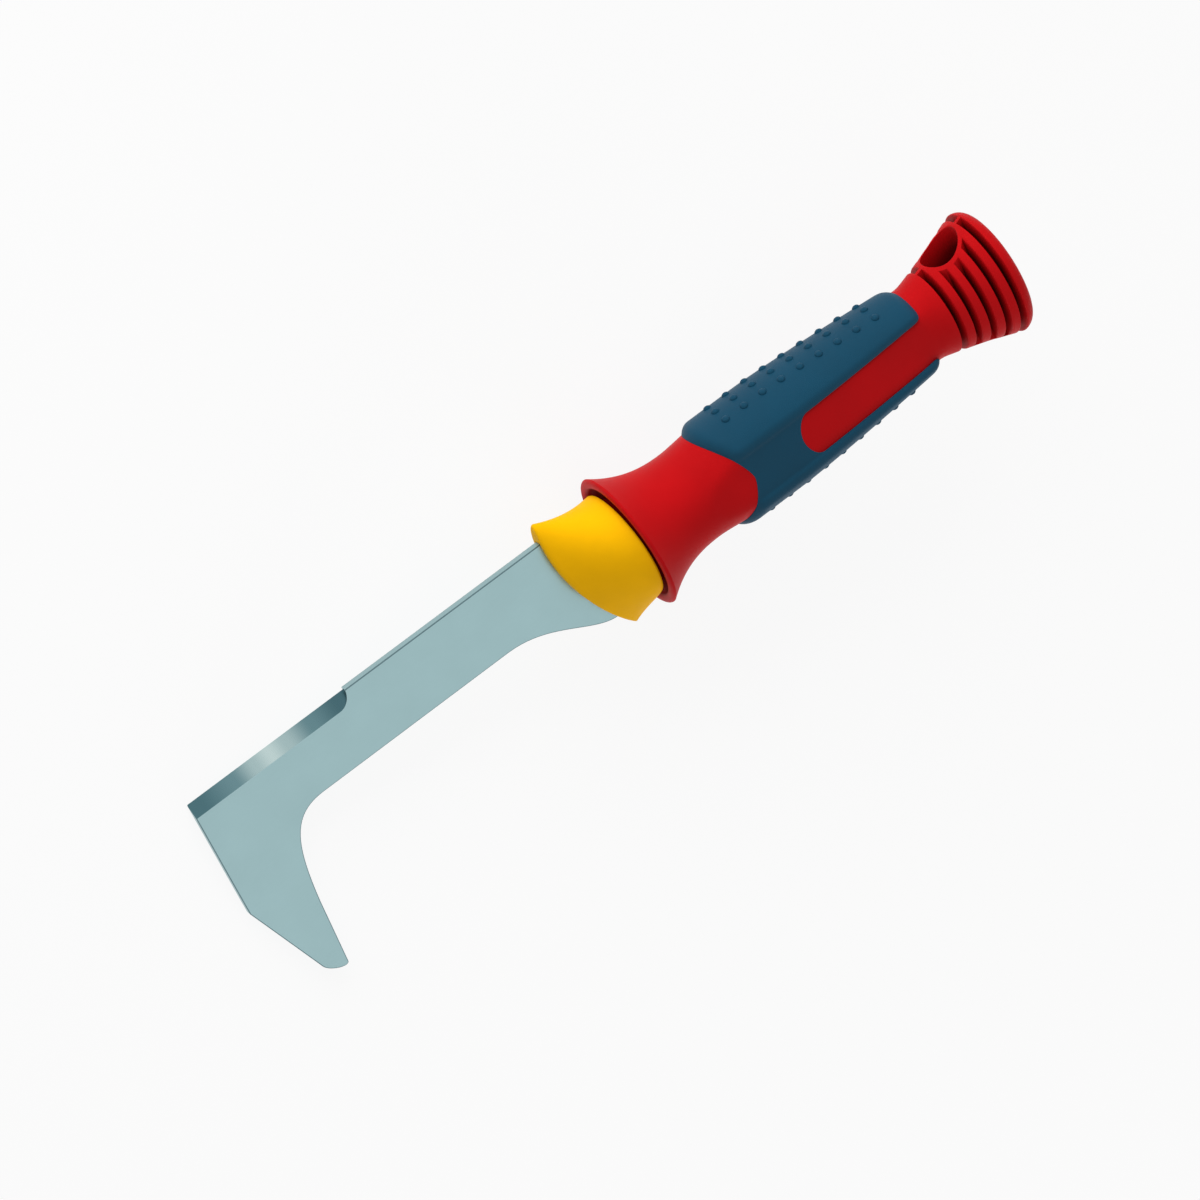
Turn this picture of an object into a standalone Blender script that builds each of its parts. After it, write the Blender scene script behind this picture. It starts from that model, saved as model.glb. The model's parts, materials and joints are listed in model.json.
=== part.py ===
"""A hand weeding knife: an L-shaped steel blade in a yellow collar, plugged into a red handle with a blue soft grip.

Every piece is drawn in the tool's own frame. X runs along the handle, from the plane of its bell-shaped mouth
towards the butt, Y points from the handle's axis to the blade's spine, and Z out of the blade's flat face.
The tool is then laid on the floor as it rests there, on the front edge of the blade and the rim of the bell.
"""
import math

import bmesh
import bpy
from mathutils import Matrix, Vector

MM = 0.001

# Fits
CLEARANCE = 0.3 * MM  # between pieces that touch

# Blade, a stamped plate: X sizes are measured forwards from the bell's mouth
BLADE_THICKNESS = 3.0 * MM
BLADE_REACH = 166.8 * MM  # to the knee of the front edge
FRONT_RAKE = 2.2 * MM  # how far the front edge leans back, from knee to spine
SPINE_HEIGHT = 19.6 * MM  # above the handle's axis
SHANK_WIDTH = 25.4 * MM
ROOT_DROP = 19.6 * MM  # the root's lower edge, below the axis
ROOT_START = 52.0 * MM  # where the shank starts to widen into its root
ROOT_END = 14.0 * MM  # where the root is at its widest
HOOK_DROP = 63.3 * MM  # the hook's tip, below the axis
HOOK_WIDTH = 21.2 * MM  # from the knee to the inside of the hook
HOOK_TIP_SET_BACK = 10.6 * MM  # the tip's front corner, behind the knee
HOOK_TIP_WIDTH = 8.0 * MM
HOOK_TIP_ROUND = 4.8 * MM
KNEE_DROP = 26.0 * MM  # where the front edge turns back towards the tip, below the axis
CROOK_RADIUS = 32.0 * MM  # the sweep from the hook's inside to the shank, along the hook
BEVEL_WIDTH = 5.5 * MM  # ground along the spine, from its inner line
BEVEL_END = 103.5 * MM  # where it runs out, in front of the mouth
BEVEL_ROUND = 5.0 * MM  # corner of the run-out
EDGE_SET_BACK = 1.1 * MM  # the ground edge, below the line of the spine
TANG_WIDTH = 18.0 * MM
TANG_END = 60.0 * MM  # behind the bell's mouth
TANG_CORNER = 3.0 * MM
SHOULDER_TOP = 21.0 * MM  # where the spine turns down to the tang, in front of the mouth
SHOULDER_LENGTH = 14.0 * MM
PEG_DIAMETER = 6.0 * MM
PEG_PLACES = (15.0 * MM, 27.0 * MM)  # behind the bell's mouth

# Collar
COLLAR_RADIUS = 19.0 * MM  # at its round rear edge
COLLAR_REAR = 1.0 * MM  # rear edge, in front of the bell's mouth
COLLAR_EDGE = 0.8 * MM  # rounding of the rear edge
COLLAR_TOP = 26.9 * MM  # upper tip of the nose, above the axis
COLLAR_BOTTOM = 26.2 * MM  # lower tip of the nose, below the axis
NOSE_THICKNESS = 11.0 * MM
NOSE_REACH = 25.6 * MM  # foremost point of the nose, in front of the mouth
NOSE_RADIUS = 68.5 * MM  # of the nose's arc, seen from the side
NOSE_HIGH_POINT = 17.6 * MM  # height of the foremost point
SEAT_RADIUS = 14.0 * MM  # round step that seats on the socket's floor
SPIGOT_HEIGHT = 24.0 * MM
SPIGOT_THICKNESS = 17.0 * MM
SPIGOT_END = 38.0 * MM  # behind the bell's mouth

# Handle
RIM_RADIUS = 24.3 * MM
LIP_ROUND = 1.2 * MM
BELL_WALL = 2.4 * MM
BELL_LENGTH = 26.0 * MM
NECK_RADIUS = 16.35 * MM
SOCKET_FLOOR = 7.5 * MM  # behind the mouth
PANEL_HEIGHT = 16.2 * MM  # the flat panel on each side
BAR_THICKNESS = 30.8 * MM  # across the panels at the front of the grip
BAR_REAR_THICKNESS = 22.4 * MM
BAR_FRONT = 45.0 * MM  # where the panels reach their full height
REAR_NECK = 122.0 * MM  # slimmest place behind the grip
REAR_NECK_HEIGHT = 28.2 * MM
BUTT_HEIGHT = 47.2 * MM
BUTT_OVAL = 0.84  # thickness of neck and butt as a share of their height
BUTT_EDGE = 4.2 * MM  # rounding of the end disc
BUTT_END = 156.0 * MM
GROOVE_COUNT = 5
GROOVE_FIRST = 132.0 * MM
GROOVE_PITCH = 5.0 * MM
GROOVE_WIDTH = 1.8 * MM
GROOVE_DEPTH = 5.5 * MM
WEB_THICKNESS = 1.4 * MM
HANG_HOLE_DIAMETER = 15.6 * MM
HANG_HOLE_PLACE = 142.0 * MM
HOLE_WALL = 1.5 * MM

# Soft grip
GRIP_RADIUS = 19.55 * MM
GRIP_REAR_RADIUS = 16.0 * MM
GRIP_TAPER_START = 60.0 * MM
GRIP_TONGUE = 45.3 * MM  # where the grip starts on the middle of each side
GRIP_SWEEP = 12.7 * MM  # how much further forward it starts on the top and bottom
GRIP_REAR = 121.3 * MM
GRIP_CHAMFER = 4.2 * MM
GRIP_INLAY = 1.2 * MM  # depth let into the handle
FLANK_STEP = 0.5 * MM  # rise from panel to flank
BAND_REAR = 65.5 * MM  # rear edge of the band across the sides
BAND_BOW = 2.8 * MM
NUB_COUNT = 9
NUB_FIRST = 47.7 * MM
NUB_PITCH = 7.6 * MM
NUB_ROW_ANGLE = 18.0  # degrees between the rows
NUB_DIAMETER = 2.7 * MM
NUB_HEIGHT = 0.9 * MM

BUTT_WIDEST = BUTT_END - BUTT_EDGE

COLOURS = {
    "blade": ((0.53, 0.60, 0.61), 0.35, 1.0),
    "collar": ((0.90, 0.62, 0.01), 0.45, 0.0),
    "handle": ((0.62, 0.02, 0.02), 0.40, 0.0),
    "soft_grip": ((0.03, 0.09, 0.15), 0.75, 0.0),
}
ROUND_STEPS = 40
REACH = 60.0 * MM  # long enough for a cutter to pass right through any piece


# Scene helpers


def clear_scene():
    for old in list(bpy.data.objects):
        bpy.data.objects.remove(old, do_unlink=True)


def new_collection(name):
    collection = bpy.data.collections.new(name)
    bpy.context.scene.collection.children.link(collection)
    return collection


clear_scene()
TOOL = new_collection("weeding_knife")
CUTTERS = new_collection("cutters")
FRAME = bpy.data.objects.new("tool_frame", None)
TOOL.objects.link(FRAME)


def material(name):
    colour, roughness, metallic = COLOURS[name]
    made = bpy.data.materials.new(name)
    made.use_nodes = True
    shader = made.node_tree.nodes["Principled BSDF"]
    shader.inputs["Base Color"].default_value = (*colour, 1.0)
    shader.inputs["Roughness"].default_value = roughness
    shader.inputs["Metallic"].default_value = metallic
    return made


def add_object(name, bm, collection):
    """Turn a finished bmesh into an object that hangs on the tool's frame."""
    bmesh.ops.recalc_face_normals(bm, faces=bm.faces[:])
    mesh = bpy.data.meshes.new(name)
    bm.to_mesh(mesh)
    bm.free()
    made = bpy.data.objects.new(name, mesh)
    made.parent = FRAME
    collection.objects.link(made)
    return made


def piece(name, bm, sharp_degrees=35.0):
    made = add_object(name, bm, TOOL)
    made.data.materials.append(material(name))
    made.data.shade_smooth()
    made.data.set_sharp_from_angle(angle=math.radians(sharp_degrees))
    return made


def cutter(name, bm):
    made = add_object(name, bm, CUTTERS)
    made.hide_render = True
    made.display_type = "WIRE"
    return made


def boolean(target, other, operation="DIFFERENCE"):
    modifier = target.modifiers.new(f"{operation.lower()} {other.name}", "BOOLEAN")
    modifier.operation = operation
    modifier.solver = "EXACT"
    modifier.object = other


# Shape helpers


def blend(a, b, t):
    return a + (b - a) * t


def smooth_step(start, end, x):
    t = min(max((x - start) / (end - start), 0.0), 1.0)
    return t * t * (3.0 - 2.0 * t)


def polar(x, angle, radius):
    """A point of a cross-section, its angle counted from the side (+Z) up to the top (+Y)."""
    return Vector((x, radius * math.sin(angle), radius * math.cos(angle)))


def full_turn(steps=ROUND_STEPS):
    return [math.tau * i / steps for i in range(steps)]


def loft(rings):
    """Bridge a row of closed rings that have the same number of points, and cap both ends."""
    bm = bmesh.new()
    loops = [[bm.verts.new(point) for point in ring] for ring in rings]
    count = len(loops[0])
    for near, far in zip(loops, loops[1:]):
        for i in range(count):
            j = (i + 1) % count
            bm.faces.new((near[i], near[j], far[j], far[i]))
    bm.faces.new(loops[0][::-1])
    bm.faces.new(loops[-1])
    return bm


def turned(profile):
    """A solid of revolution round the handle's axis, from (x, radius) points that start and end on the axis."""
    bm = bmesh.new()
    verts = [bm.verts.new((x, radius, 0.0)) for x, radius in profile]
    edges = [bm.edges.new(pair) for pair in zip(verts, verts[1:])]
    bmesh.ops.spin(
        bm, geom=verts + edges, cent=(0, 0, 0), axis=(1, 0, 0), angle=math.tau, steps=ROUND_STEPS, use_merge=True
    )
    bmesh.ops.remove_doubles(bm, verts=bm.verts[:], dist=0.001 * MM)
    return bm


def box(low, high):
    low, high = Vector(low), Vector(high)
    bm = bmesh.new()
    bmesh.ops.create_cube(bm, size=1.0)
    bmesh.ops.transform(bm, matrix=Matrix.LocRotScale((low + high) / 2, None, high - low), verts=bm.verts[:])
    return bm


def cylinder(diameter, length, matrix, segments=ROUND_STEPS):
    """A closed cylinder along Z, centred and then moved by the matrix."""
    bm = bmesh.new()
    bmesh.ops.create_cone(
        bm, cap_ends=True, segments=segments, radius1=diameter / 2, radius2=diameter / 2, depth=length, matrix=matrix
    )
    return bm


def joined(parts):
    """Several closed shapes in one bmesh."""
    whole = bmesh.new()
    for part in parts:
        mesh = bpy.data.meshes.new("part")
        part.to_mesh(mesh)
        part.free()
        whole.from_mesh(mesh)
        bpy.data.meshes.remove(mesh)
    return whole


def plate(points, thickness):
    """A flat plate in the XY plane from a closed outline of (corner, handle before, handle after) points."""
    curve = bpy.data.curves.new("outline", "CURVE")
    curve.dimensions = "2D"
    curve.fill_mode = "BOTH"
    curve.extrude = thickness / 2
    curve.resolution_u = 8
    spline = curve.splines.new("BEZIER")
    spline.bezier_points.add(len(points) - 1)
    spline.use_cyclic_u = True
    for target, (corner, before, after) in zip(spline.bezier_points, points):
        target.co = (*corner, 0.0)
        target.handle_left_type = "FREE" if before else "VECTOR"
        target.handle_right_type = "FREE" if after else "VECTOR"
        if before:
            target.handle_left = (*before, 0.0)
        if after:
            target.handle_right = (*after, 0.0)
    drawn = bpy.data.objects.new("outline", curve)
    CUTTERS.objects.link(drawn)
    graph = bpy.context.evaluated_depsgraph_get()
    mesh = bpy.data.meshes.new_from_object(drawn.evaluated_get(graph))
    bm = bmesh.new()
    bm.from_mesh(mesh)
    bmesh.ops.remove_doubles(bm, verts=bm.verts[:], dist=0.01 * MM)
    bpy.data.meshes.remove(mesh)
    bpy.data.objects.remove(drawn)
    bpy.data.curves.remove(curve)
    return bm


# Blade


def blade_outline(grow=0.0):
    """The plate's outline. The root and tang can be grown all round, to cut the slot that holds them."""
    front = -BLADE_REACH
    shank_bottom = SPINE_HEIGHT - SHANK_WIDTH
    knee = Vector((front, -KNEE_DROP))
    tip = Vector((front + HOOK_TIP_SET_BACK, -HOOK_DROP + HOOK_TIP_ROUND))
    slope = (tip - knee).normalized() * HOOK_TIP_ROUND / 2
    tip_rear = tip.x + HOOK_TIP_WIDTH
    tip_low = Vector((tip_rear - 0.3 * HOOK_TIP_ROUND, -HOOK_DROP))
    tip_high = -HOOK_DROP + 0.3 * HOOK_TIP_ROUND
    inside = front + HOOK_WIDTH
    crook_top = shank_bottom - CROOK_RADIUS
    crook_end = inside + 0.6 * CROOK_RADIUS
    root_length = ROOT_START - ROOT_END
    half_tang = TANG_WIDTH / 2 + grow
    tang_end = TANG_END + grow
    shoulder = -SHOULDER_TOP + SHOULDER_LENGTH
    top = SPINE_HEIGHT + grow
    bottom = -ROOT_DROP - grow
    lower = shank_bottom - grow
    return [
        ((front + FRONT_RAKE, top), None, None),
        (knee, knee + Vector((0.0, HOOK_TIP_ROUND / 2)), knee + slope),
        (tip, tip - slope, tip + 0.8 * slope),
        (tip_low, tip_low - Vector((HOOK_TIP_ROUND / 2, -0.05 * HOOK_TIP_ROUND)), (tip_rear, -HOOK_DROP)),
        ((tip_rear, tip_high), (tip_rear, tip_high - 0.15 * HOOK_TIP_ROUND), None),
        ((inside, crook_top), None, (inside + 0.09 * CROOK_RADIUS, shank_bottom - 0.32 * CROOK_RADIUS)),
        ((crook_end, lower), (inside + 0.2 * CROOK_RADIUS, lower), None),
        ((-ROOT_START, lower), None, (-ROOT_START + 0.45 * root_length, lower)),
        ((-ROOT_END, bottom), (-ROOT_END - 0.26 * root_length, bottom), None),
        ((shoulder, -half_tang), None, None),
        ((tang_end - TANG_CORNER, -half_tang), None, None),
        ((tang_end, -half_tang + TANG_CORNER), None, None),
        ((tang_end, half_tang - TANG_CORNER), None, None),
        ((tang_end - TANG_CORNER, half_tang), None, None),
        ((shoulder, half_tang), None, None),
        ((-SHOULDER_TOP, top), None, None),
    ]


def pegs(name, diameter):
    """The round bars of the collar that pass through the tang, or the holes that take them."""
    return cutter(name, joined([cylinder(diameter, REACH, Matrix.Translation((x, 0, 0)), 20) for x in PEG_PLACES]))


def edge_grinder():
    """A block whose underside is the ground facet, with a rounded corner where the facet runs out."""
    tilt = math.atan2(BLADE_THICKNESS, BEVEL_WIDTH - EDGE_SET_BACK)
    reach = 3.0 * BEVEL_WIDTH
    bm = box((-BLADE_REACH - reach, 0.0, 0.0), (-BEVEL_END, reach, reach))
    corner = [edge for edge in bm.edges if all(v.co.x > -BLADE_REACH and v.co.y < MM for v in edge.verts)]
    bmesh.ops.bevel(bm, geom=corner, offset=BEVEL_ROUND, segments=5, profile=0.5, affect="EDGES")
    facet = Matrix.Translation((0.0, SPINE_HEIGHT - BEVEL_WIDTH, BLADE_THICKNESS / 2)) @ Matrix.Rotation(-tilt, 4, "X")
    bmesh.ops.transform(bm, matrix=facet, verts=bm.verts[:])
    return cutter("edge_grinder", bm)


def make_blade():
    blade = piece("blade", plate(blade_outline(), BLADE_THICKNESS))
    boolean(blade, edge_grinder())
    boolean(blade, pegs("peg_holes", PEG_DIAMETER + 2 * CLEARANCE))


# Collar


def nose_front(y):
    """How far forward the collar's front face lies at a height, as a negative X."""
    rise = min(abs(y - NOSE_HIGH_POINT), NOSE_RADIUS)
    return -NOSE_REACH + NOSE_RADIUS - math.sqrt(NOSE_RADIUS**2 - rise**2)


def collar_ring(t):
    """A ring of the collar's head, from its round rear edge (t = 0) to its flat, swept nose (t = 1)."""
    half_thickness = blend(COLLAR_RADIUS, NOSE_THICKNESS / 2, t**1.1)
    ring = []
    for angle in full_turn():
        rise = math.sin(angle)
        tip, flare = (COLLAR_TOP, t**1.7) if rise > 0.0 else (COLLAR_BOTTOM, t**1.1)
        x = blend(-COLLAR_REAR, nose_front(rise * tip), t)
        ring.append((x, rise * blend(COLLAR_RADIUS, tip, flare), math.cos(angle) * half_thickness))
    return ring


def round_ring(x, radius):
    return [polar(x, angle, radius) for angle in full_turn()]


def spigot_ring(x, grow=0.0):
    """The spigot's section: round above and below, with flat sides that keep it from turning."""
    radius = SPIGOT_HEIGHT / 2 + grow
    flat = SPIGOT_THICKNESS / 2 + grow
    ring = [polar(x, angle, radius) for angle in full_turn()]
    return [Vector((x, p.y, max(-flat, min(flat, p.z)))) for p in ring]


def make_collar():
    head = [collar_ring(t / 8) for t in range(8, -1, -1)]
    back = -COLLAR_REAR + COLLAR_EDGE
    seat = SOCKET_FLOOR - CLEARANCE
    rear = [
        round_ring(back, COLLAR_RADIUS - COLLAR_EDGE),
        round_ring(back, SEAT_RADIUS),
        round_ring(seat, SEAT_RADIUS),
        spigot_ring(seat),
        spigot_ring(SPIGOT_END),
    ]
    bm = loft(head + rear)
    close_nose(bm, len(head[0]))
    collar = piece("collar", bm)
    slot = cutter("collar_slot", plate(blade_outline(CLEARANCE), BLADE_THICKNESS + 2 * CLEARANCE))
    boolean(slot, pegs("collar_pegs", PEG_DIAMETER))
    boolean(collar, slot)


def close_nose(bm, count):
    """Swap the nose's single cap for a strip across it, because that face is bowed."""
    bm.faces.ensure_lookup_table()
    bm.verts.ensure_lookup_table()
    cap = max(bm.faces[:], key=lambda face: (len(face.verts) == count, -face.calc_center_median().x))
    bm.faces.remove(cap)
    ring = bm.verts[:count]
    quarter = count // 4
    for step in range(count // 2):
        near = [(quarter + step) % count, (quarter + step + 1) % count]
        far = [(quarter - step - 1) % count, (quarter - step) % count]
        corners = []
        for index in near + far:
            if ring[index] not in corners:
                corners.append(ring[index])
        bm.faces.new(corners)


# Handle


def half_panel(x):
    """Half the handle's thickness across its side panels."""
    front = BAR_THICKNESS / 2
    if x < BAR_FRONT:
        return blend(NECK_RADIUS, front, smooth_step(BELL_LENGTH, BAR_FRONT, x))
    taper = max(x - GRIP_TAPER_START, 0.0) / (REAR_NECK - GRIP_TAPER_START)
    return blend(front, BAR_REAR_THICKNESS / 2, taper**1.6)


def bar_radius(x):
    """Radius of the handle's round top and bottom, under the grip."""
    corner = math.hypot(half_panel(x), PANEL_HEIGHT / 2)
    return blend(NECK_RADIUS, corner, smooth_step(BELL_LENGTH, BAR_FRONT, x))


def bell_radius(x):
    flare = max(BELL_LENGTH - x, 0.0) / (BELL_LENGTH - LIP_ROUND)
    return NECK_RADIUS + (RIM_RADIUS - NECK_RADIUS) * flare**2.3


def butt_half_height(x):
    rise = min(max(x - REAR_NECK, 0.0) / (BUTT_WIDEST - REAR_NECK), 1.0)
    return blend(REAR_NECK_HEIGHT, BUTT_HEIGHT, rise**1.2) / 2


def handle_radius(x, angle):
    """Distance of the handle's hard surface from its axis."""
    if x < BELL_LENGTH:
        return bell_radius(x)
    side = max(abs(math.cos(angle)), 1e-6)
    bar = min(bar_radius(x), half_panel(x) / side)
    high = butt_half_height(x)
    thick = high * BUTT_OVAL
    oval = high * thick / math.hypot(thick * math.sin(angle), high * math.cos(angle))
    return blend(bar, oval, smooth_step(GRIP_REAR - 2 * GRIP_CHAMFER, BUTT_WIDEST - 2 * GROOVE_PITCH, x))


def section_angles():
    """Angles of a handle section: steps across half a panel, then even steps over the top."""
    edge = math.atan2(PANEL_HEIGHT, BAR_THICKNESS)
    quarter = [0.2 * edge, 0.6 * edge] + [blend(edge, math.pi / 2, i / 7.5) for i in range(8)]
    half = quarter + [math.pi - angle for angle in reversed(quarter)]
    return half + [angle + math.pi for angle in half]


def handle_ring(x, inset=0.0):
    return [polar(x, angle, handle_radius(x, angle) - inset) for angle in section_angles()]


def spread(start, end, count):
    return [blend(start, end, i / count) for i in range(count)]


def handle_rings():
    lip = []
    for turn in (0.0, 30.0, 60.0):
        angle = math.radians(turn)
        inset = LIP_ROUND * (1.0 - math.sin(angle))
        x = LIP_ROUND * (1.0 - math.cos(angle))
        lip.append([polar(x, a, RIM_RADIUS - inset) for a in section_angles()])
    places = spread(LIP_ROUND, BELL_LENGTH, 9) + spread(BELL_LENGTH, BAR_FRONT, 4)
    places += spread(BAR_FRONT, GRIP_TAPER_START, 2) + spread(GRIP_TAPER_START, GRIP_REAR, 6)
    places += spread(GRIP_REAR, BUTT_WIDEST, 8)
    butt = []
    for turn in (0.0, 22.5, 45.0, 67.5, 90.0):
        angle = math.radians(turn)
        x = BUTT_END - BUTT_EDGE * (1.0 - math.sin(angle))
        butt.append(handle_ring(x, BUTT_EDGE * (1.0 - math.cos(angle))))
    return lip + [handle_ring(x) for x in places] + butt


def bell_mouth():
    """The hollow of the bell, inside its rounded lip, down to the socket's floor."""
    profile = [(-LIP_ROUND, 0.0), (-LIP_ROUND, RIM_RADIUS - LIP_ROUND)]
    for turn in (0.0, 30.0, 60.0):
        angle = math.radians(turn)
        inset = LIP_ROUND * (1.0 + math.sin(angle))
        profile.append((LIP_ROUND * (1.0 - math.cos(angle)), RIM_RADIUS - inset))
    for x in spread(LIP_ROUND, SOCKET_FLOOR, 3) + [SOCKET_FLOOR]:
        profile.append((x, bell_radius(x) - BELL_WALL))
    profile.append((SOCKET_FLOOR, 0.0))
    return cutter("bell_mouth", turned(profile))


def socket_bores():
    """The bore for the spigot and, behind it, the slot for the end of the tang."""
    grow = CLEARANCE
    spigot = loft([spigot_ring(SOCKET_FLOOR - MM, grow), spigot_ring(SPIGOT_END + grow, grow)])
    half = Vector((0.0, TANG_WIDTH / 2 + grow, BLADE_THICKNESS / 2 + grow))
    slot = box(-half + Vector((SPIGOT_END, 0, 0)), half + Vector((TANG_END + 2 * grow, 0, 0)))
    return cutter("spigot_bore", spigot), cutter("tang_slot", slot)


def fin_cutter():
    """The slots between the fins. They stop at an oval core, at a thin web and at the wall of the hang hole."""
    slots = []
    for i in range(GROOVE_COUNT):
        x = GROOVE_FIRST + i * GROOVE_PITCH
        for side in (-1, 1):
            web = side * WEB_THICKNESS / 2
            far = side * REACH
            low = (x - GROOVE_WIDTH / 2, -REACH, min(web, far))
            high = (x + GROOVE_WIDTH / 2, REACH, max(web, far))
            slots.append(box(low, high))
    fins = cutter("fin_slots", joined(slots))
    start = GROOVE_FIRST - GROOVE_PITCH
    end = GROOVE_FIRST + GROOVE_COUNT * GROOVE_PITCH
    core = loft([handle_ring(x, GROOVE_DEPTH) for x in spread(start, end, 6) + [end]])
    boolean(fins, cutter("fin_core", core))
    boolean(fins, hang_hole("hole_wall", HANG_HOLE_DIAMETER + 2 * HOLE_WALL))
    return fins


def hang_hole(name, diameter):
    across = Matrix.Translation((HANG_HOLE_PLACE, 0, 0)) @ Matrix.Rotation(math.pi / 2, 4, "X")
    return cutter(name, cylinder(diameter, 2 * REACH, across))


def make_handle():
    handle = piece("handle", loft(handle_rings()))
    boolean(handle, bell_mouth())
    for bore in socket_bores():
        boolean(handle, bore)
    boolean(handle, fin_cutter())
    boolean(handle, hang_hole("hang_hole", HANG_HOLE_DIAMETER))
    boolean(handle, cutter("grip_pocket", grip_shell(CLEARANCE, 2 * GRIP_CHAMFER)))


# Soft grip


def pad_radius(x):
    taper_end = GRIP_REAR - GRIP_CHAMFER
    taper = min(max(x - GRIP_TAPER_START, 0.0) / (taper_end - GRIP_TAPER_START), 1.0)
    return blend(GRIP_RADIUS, GRIP_REAR_RADIUS, taper**1.35)


def grip_columns(gap):
    """One quarter of a grip section, from the middle of the side to the top, as (kind, share) pairs."""
    panel = [("panel", share) for share in (0.0, 0.5, 1.0)]
    arc = [("arc", i / 6) for i in range(7)]
    return panel + [("flank", 0.0)] + arc


def grip_point(x, column, lift, gap, raise_by):
    """(outer, inner) points (y, z) of a grip section's column; lift goes from 0, flush, to 1, full height."""
    kind, share = column
    half_height = PANEL_HEIGHT / 2 - gap
    flat = half_panel(x)
    floor = GRIP_INLAY + gap
    if kind == "panel":
        y = half_height * share
        return (y, flat + raise_by), (y, flat - floor)
    pad = pad_radius(x)
    flank = min(flat + FLANK_STEP, pad)
    if kind == "flank":
        y = half_height + FLANK_STEP
        hard = math.sqrt(max(handle_radius(x, math.atan2(y, flat)) ** 2 - y**2, 0.0))
        return (y, blend(hard, flank, lift) + raise_by), (y - 0.7 * FLANK_STEP, hard - floor)
    angle = blend(math.acos(flank / pad), math.pi / 2, share)
    hard = handle_radius(x, angle)
    outer = blend(hard, pad, lift) + raise_by
    inner = hard - floor
    return tuple((radius * math.sin(angle), radius * math.cos(angle)) for radius in (outer, inner))


def grip_stations(column, gap):
    """(x, lift) along a column, from the swept front edge to the rear, and how many of them the band has."""
    kind, share = column
    height = {"panel": share * PANEL_HEIGHT / 2, "flank": PANEL_HEIGHT / 2}.get(kind)
    if height is None:
        height = blend(PANEL_HEIGHT * 0.7, NECK_RADIUS, share)
    front = GRIP_TONGUE - GRIP_SWEEP * (height / NECK_RADIUS) ** 2 - gap
    band_share = share if kind == "panel" else 1.0
    band = BAND_REAR + BAND_BOW * band_share**2 + gap
    corner = {"panel": 0.6 * GRIP_CHAMFER, "flank": 0.3 * GRIP_CHAMFER}.get(kind, 0.0)
    rear = GRIP_REAR - corner + gap
    chamfer = [(0.0, 0.0), (0.3, 0.5), (0.65, 0.87), (1.0, 1.0)]
    stations = [(front + GRIP_CHAMFER * along, lift) for along, lift in chamfer]
    stations += [(x, 1.0) for x in spread(front + GRIP_CHAMFER, band, 3)[1:] + [band]]
    band_count = len(stations)
    stations += [(x, 1.0) for x in spread(band, rear - GRIP_CHAMFER, 6)[1:]]
    stations += [(rear - GRIP_CHAMFER * along, lift) for along, lift in reversed(chamfer)]
    return stations, band_count


def grip_shell(gap, raise_by):
    """The grip's sheet as a closed shell. With a gap and a raised top it is the pocket that it lies in."""
    quarter = grip_columns(gap)
    last = len(quarter) - 1
    around = [(i, 1, 1) for i in range(last + 1)] + [(i, 1, -1) for i in range(last - 1, -1, -1)]
    around += [(i, -1, -1) for i in range(1, last + 1)] + [(i, -1, 1) for i in range(last - 1, 0, -1)]
    bm = bmesh.new()
    outer, inner = [], []
    for index, up, out in around:
        column = quarter[index]
        stations, band_count = grip_stations(column, gap)
        inside_panel = column[0] == "panel" and column[1] < 1.0
        kept = stations[:band_count] if inside_panel else stations
        outer_line, inner_line = [], []
        for x, lift in kept:
            top, floor = grip_point(x, column, lift, gap, raise_by)
            outer_line.append(bm.verts.new((x, up * top[0], out * top[1])))
            inner_line.append(bm.verts.new((x, up * floor[0], out * floor[1])))
        outer.append(outer_line)
        inner.append(inner_line)
    below = {}
    for line_out, line_in in zip(outer, inner):
        below.update(zip(line_out, line_in))
    sheet = []
    for k, line in enumerate(outer):
        beside = outer[(k + 1) % len(outer)]
        for i in range(min(len(line), len(beside)) - 1):
            sheet.append(bm.faces.new((line[i], line[i + 1], beside[i + 1], beside[i])))
    rim = [edge for edge in bm.edges if edge.is_boundary]
    for face in sheet:
        bm.faces.new([below[vert] for vert in reversed(face.verts[:])])
    for edge in rim:
        a, b = edge.verts
        bm.faces.new((a, b, below[b], below[a]))
    return bm


def nub_places():
    for i in range(NUB_COUNT):
        x = NUB_FIRST + i * NUB_PITCH
        for top in (90.0, -90.0):
            for row in (-1, 0, 1):
                yield x, math.radians(top + row * NUB_ROW_ANGLE)


def nubs():
    """Rows of small blunt cones on both pads, sunk a little into them."""
    sunk = NUB_HEIGHT / 2
    made = []
    for x, angle in nub_places():
        middle = pad_radius(x) + (NUB_HEIGHT - sunk) / 2
        place = Matrix.Translation(polar(x, angle, middle)) @ Matrix.Rotation(-angle, 4, "X")
        bm = bmesh.new()
        bmesh.ops.create_cone(
            bm,
            cap_ends=True,
            segments=8,
            radius1=NUB_DIAMETER / 2,
            radius2=NUB_DIAMETER / 5,
            depth=NUB_HEIGHT + sunk,
            matrix=place,
        )
        made.append(bm)
    return cutter("nubs", joined(made))


def make_soft_grip():
    grip = piece("soft_grip", grip_shell(0.0, 0.0))
    boolean(grip, nubs(), "UNION")


# The tool at rest


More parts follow.
